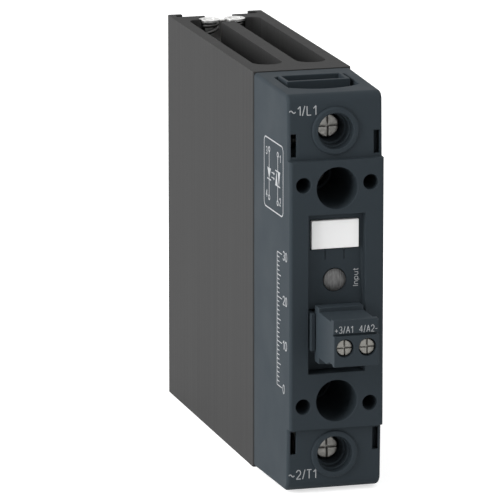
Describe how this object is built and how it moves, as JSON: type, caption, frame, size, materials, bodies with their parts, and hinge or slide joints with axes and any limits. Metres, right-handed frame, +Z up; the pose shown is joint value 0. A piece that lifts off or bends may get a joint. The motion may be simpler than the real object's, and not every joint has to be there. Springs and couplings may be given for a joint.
{
  "type": "solid state relay",
  "caption": "Slim single-phase solid state relay on a finned heat sink, with screw terminals, pull-off control plug, status lamp, marking tag and sprung rail clip.",
  "frame": {"origin": "centre of the rail's front face between the two hooks: Y = 0 is the plane of the heat sink's rear feet and Z = 0 is half its height", "axes": "+X to the right seen from the front, +Y from the front towards the rail, +Z up"},
  "size_m": [0.0226, 0.1167, 0.09],
  "materials": {
    "sink_aluminium": "black anodised extrusion, satin",
    "pad_foil": "thin heat-conducting foil",
    "base_metal": "milled, bare",
    "ceramic_white": "fired alumina, matt",
    "copper": "bare copper, satin",
    "silicon": "dark metallised silicon",
    "tinned_metal": "tin plated, satin",
    "cage_steel": "zinc plated steel",
    "screw_steel": "zinc plated steel, satin",
    "guide_plastic": "fine matt moulding",
    "housing_plastic": "fine matt blue-grey moulding",
    "board_laminate": "green solder resist",
    "package_black": "matt moulded packages",
    "capacitor_plastic": "boxed film capacitor",
    "varistor_coating": "dipped coating",
    "lamp_lens": "smoked diffusing lens, unlit",
    "plug_plastic": "fine matt moulding",
    "plug_screw_steel": "bright zinc plate",
    "tag_plastic": "white, smooth matt",
    "clip_steel": "zinc plated sheet",
    "spring_steel": "drawn spring wire",
    "plug_metal": "turned, bare"
  },
  "bodies": {
    "module": {"heat_sink": "sink_aluminium", "thermal_pad": "pad_foil", "base_plate": "base_metal", "ceramic_substrate": "ceramic_white", "copper_pads": "copper", "thyristor_dies": "silicon", "die_bridges": "copper", "gate_pins": "tinned_metal", "line_busbar": "tinned_metal", "load_busbar": "tinned_metal", "upper_terminal_cage": "cage_steel", "lower_terminal_cage": "cage_steel", "upper_wire_guide": "guide_plastic", "lower_wire_guide": "guide_plastic", "front_housing": "housing_plastic", "fixing_screws": "screw_steel", "fixing_washers": "cage_steel", "control_board": "board_laminate", "optocoupler": "package_black", "chip_resistors": "package_black", "snubber_capacitor": "capacitor_plastic", "varistor": "varistor_coating", "current_regulator": "package_black", "indicator_led": "lamp_lens", "led_spacer": "package_black", "led_leads": "tinned_metal", "header_housing": "plug_plastic", "header_pins": "tinned_metal", "clip_plate": "clip_steel", "clip_rivets": "clip_steel", "clamp_bar": "clip_steel", "latch_springs": "spring_steel", "spring_plugs": "plug_metal"},
    "latch": {"latch_slider": "clip_steel"},
    "control_plug": {"plug_body": "plug_plastic", "plug_contacts": "tinned_metal"},
    "left_small_screw": {"left_plug_screw": "plug_screw_steel"},
    "right_small_screw": {"right_plug_screw": "plug_screw_steel"},
    "left_small_clamp": {"left_plug_clamp": "cage_steel"},
    "right_small_clamp": {"right_plug_clamp": "cage_steel"},
    "upper_clamp": {"upper_pressure_plate": "cage_steel"},
    "upper_screw": {"upper_terminal_screw": "screw_steel"},
    "lower_clamp": {"lower_pressure_plate": "cage_steel"},
    "lower_screw": {"lower_terminal_screw": "screw_steel"},
    "tag": {"marking_tag": "tag_plastic"}
  },
  "joints": [
    {"name": "latch_lift", "type": "slide", "parent": "module", "child": "latch", "axis": [0, 0, 1], "range_m": [0, 0.004], "stiffness_N_per_m": 1600, "springref_m": -0.008, "deforming": ["latch_springs"]},
    {"name": "plug_pull", "type": "slide", "parent": "module", "child": "control_plug", "axis": [0, -1, 0], "range_m": [0, 0.012]},
    {"name": "left_plug_clamp_rise", "type": "slide", "parent": "control_plug", "child": "left_small_clamp", "axis": [0, -1, 0], "range_m": [0, 0.0024]},
    {"name": "left_plug_screw_turn", "type": "hinge", "parent": "control_plug", "child": "left_small_screw", "pos_m": [-0.00254, -0.1123, -0.00845], "axis": [0, 1, 0], "range_deg": [0, 1920]},
    {"name": "right_plug_clamp_rise", "type": "slide", "parent": "control_plug", "child": "right_small_clamp", "axis": [0, -1, 0], "range_m": [0, 0.0024]},
    {"name": "right_plug_screw_turn", "type": "hinge", "parent": "control_plug", "child": "right_small_screw", "pos_m": [0.00254, -0.1123, -0.00845], "axis": [0, 1, 0], "range_deg": [0, 1920]},
    {"name": "upper_clamp_close", "type": "slide", "parent": "module", "child": "upper_clamp", "axis": [0, 1, 0], "range_m": [0, 0.0034]},
    {"name": "upper_screw_turn", "type": "hinge", "parent": "upper_clamp", "child": "upper_screw", "pos_m": [0, -0.0916, 0.0362], "axis": [0, 1, 0], "range_deg": [0, 1748.58]},
    {"name": "lower_clamp_close", "type": "slide", "parent": "module", "child": "lower_clamp", "axis": [0, 1, 0], "range_m": [0, 0.0034]},
    {"name": "lower_screw_turn", "type": "hinge", "parent": "lower_clamp", "child": "lower_screw", "pos_m": [0, -0.0916, -0.0362], "axis": [0, 1, 0], "range_deg": [0, 1748.58]},
    {"name": "tag_pull", "type": "slide", "parent": "module", "child": "tag", "axis": [0, -1, 0], "range_m": [0, 0.004]}
  ],
  "couplings": [
    {"joint": "left_plug_screw_turn", "follows": "left_plug_clamp_rise", "rad_per_m": 13963},
    {"joint": "right_plug_screw_turn", "follows": "right_plug_clamp_rise", "rad_per_m": 13963},
    {"joint": "upper_screw_turn", "follows": "upper_clamp_close", "rad_per_m": 8976},
    {"joint": "lower_screw_turn", "follows": "lower_clamp_close", "rad_per_m": 8976}
  ]
}
